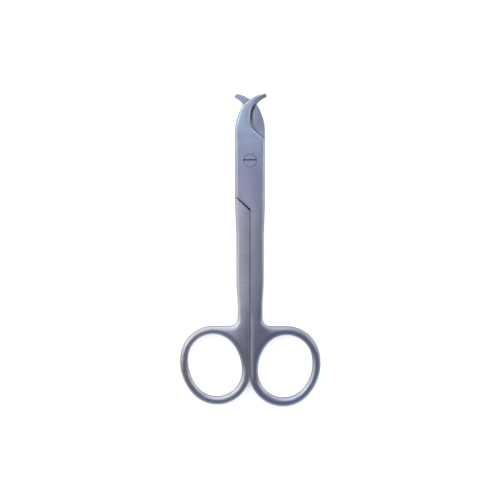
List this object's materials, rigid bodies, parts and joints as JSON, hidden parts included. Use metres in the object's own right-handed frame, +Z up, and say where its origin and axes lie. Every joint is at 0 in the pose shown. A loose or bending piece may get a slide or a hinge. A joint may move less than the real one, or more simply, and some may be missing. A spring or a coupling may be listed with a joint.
{
  "type": "surgical scissors",
  "caption": "Small ring-handled surgical scissors with short outward-hooked crescent blades, a lap joint with shoulders and a flush slotted pivot screw, lying flat and closed.",
  "frame": {"origin": "on the pivot axis, in the plane of the lower lap plate's outer face, on which the scissors lie", "axes": "+Z up along the pivot axis, +Y along the scissors towards the blade tips, +X towards the front half's finger ring"},
  "size_m": [0.0472, 0.105, 0.0044],
  "materials": {
    "front_steel": "satin ground stainless steel",
    "back_steel": "satin ground stainless steel",
    "screw_steel": "satin turned stainless steel"
  },
  "bodies": {
    "back_body": {"back_half": "back_steel", "pivot_screw": "screw_steel"},
    "front_body": {"front_half": "front_steel"}
  },
  "joints": [
    {"name": "pivot", "type": "hinge", "parent": "back_body", "child": "front_body", "pos_m": [0, 0, 0], "axis": [0, 0, 1], "range_deg": [0, 130]}
  ]
}
